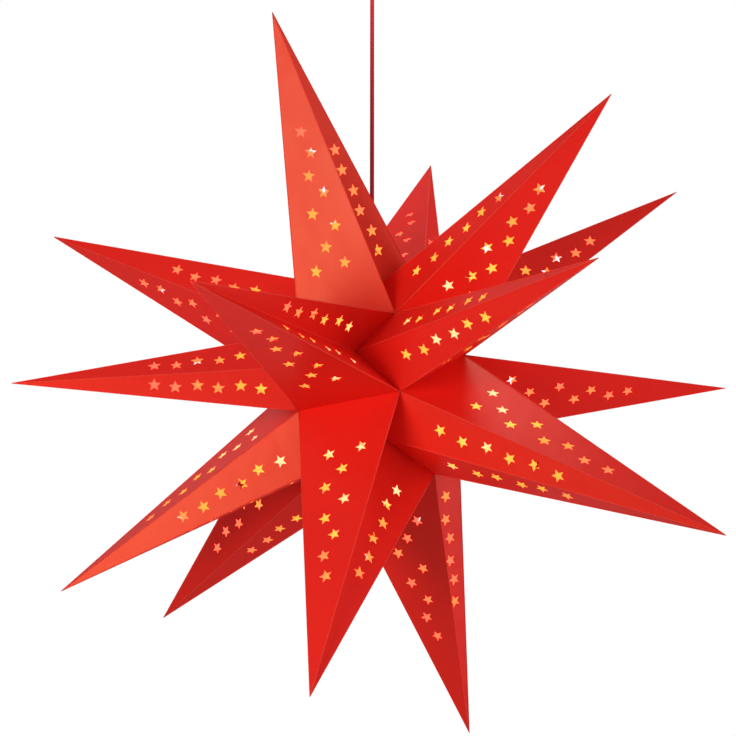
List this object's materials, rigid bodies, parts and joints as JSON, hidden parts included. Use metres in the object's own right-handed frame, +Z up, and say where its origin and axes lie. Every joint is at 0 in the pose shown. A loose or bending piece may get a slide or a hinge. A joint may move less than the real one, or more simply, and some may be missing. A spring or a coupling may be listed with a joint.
{
  "type": "paper star pendant light",
  "caption": "Hanging folded-card star with hollow pointed arms and star-shaped holes, lit from inside by an LED lamp on a straight cord from a ceiling cup.",
  "frame": {"origin": "on the ceiling where the cord's axis meets it, centre of the bracket's upper face", "axes": "+Z up, +X along the star's long axis and the bracket, -Y toward the viewer"},
  "size_m": [0.5309, 0.6, 0.6943],
  "materials": {
    "red_card": "satin",
    "steel": "satin",
    "zinc_screw": "satin",
    "white_plastic": "matte",
    "brass": "satin",
    "nickel": "polished",
    "lamp_plastic": "matte",
    "board": "matte",
    "led": "gloss",
    "globe": "matte",
    "copper": "satin",
    "cord_cover": "matte"
  },
  "bodies": {
    "pendant": {"ceiling_bracket": "steel", "anchor_block": "white_plastic", "anchor_screw": "zinc_screw", "terminal_block": "white_plastic", "terminal_screws": "zinc_screw", "core_wires": "copper", "cord": "cord_cover", "nipple": "brass", "nipple_nut": "brass", "nipple_screw": "zinc_screw", "hanger_disc": "white_plastic", "holder_cap": "white_plastic", "holder_barrel": "white_plastic", "holder_shell": "brass", "holder_contact": "brass"},
    "cover": {"ceiling_cup": "white_plastic", "cord_bush": "white_plastic", "bush_nut": "white_plastic", "bush_screw": "zinc_screw"},
    "star": {"point_1_left": "red_card", "point_1_middle": "red_card", "point_1_right": "red_card", "point_2_left": "red_card", "point_2_middle": "red_card", "point_2_right": "red_card", "point_3_left": "red_card", "point_3_middle": "red_card", "point_3_right": "red_card", "point_4_left": "red_card", "point_4_middle": "red_card", "point_4_right": "red_card", "point_5_left": "red_card", "point_5_middle": "red_card", "point_5_right": "red_card", "point_6_left": "red_card", "point_6_middle": "red_card", "point_6_right": "red_card", "seam_clip_left": "steel", "seam_clip_right": "steel"},
    "lamp": {"bulb_cap": "nickel", "bulb_contact": "brass", "bulb_body": "lamp_plastic", "led_board": "board", "led_chips": "led", "bulb_globe": "globe"}
  },
  "joints": [
    {"name": "cover_slide", "type": "slide", "parent": "pendant", "child": "cover", "axis": [0, 0, -1], "range_m": [0, 0.15]},
    {"name": "star_swivel", "type": "hinge", "parent": "pendant", "child": "star", "pos_m": [0, 0, -0.356], "axis": [-0.0628, 0, 0.998], "continuous": true},
    {"name": "lamp_screw", "type": "hinge", "parent": "pendant", "child": "lamp", "pos_m": [0, 0, -0.356], "axis": [-0.0628, 0, 0.998], "continuous": true}
  ]
}
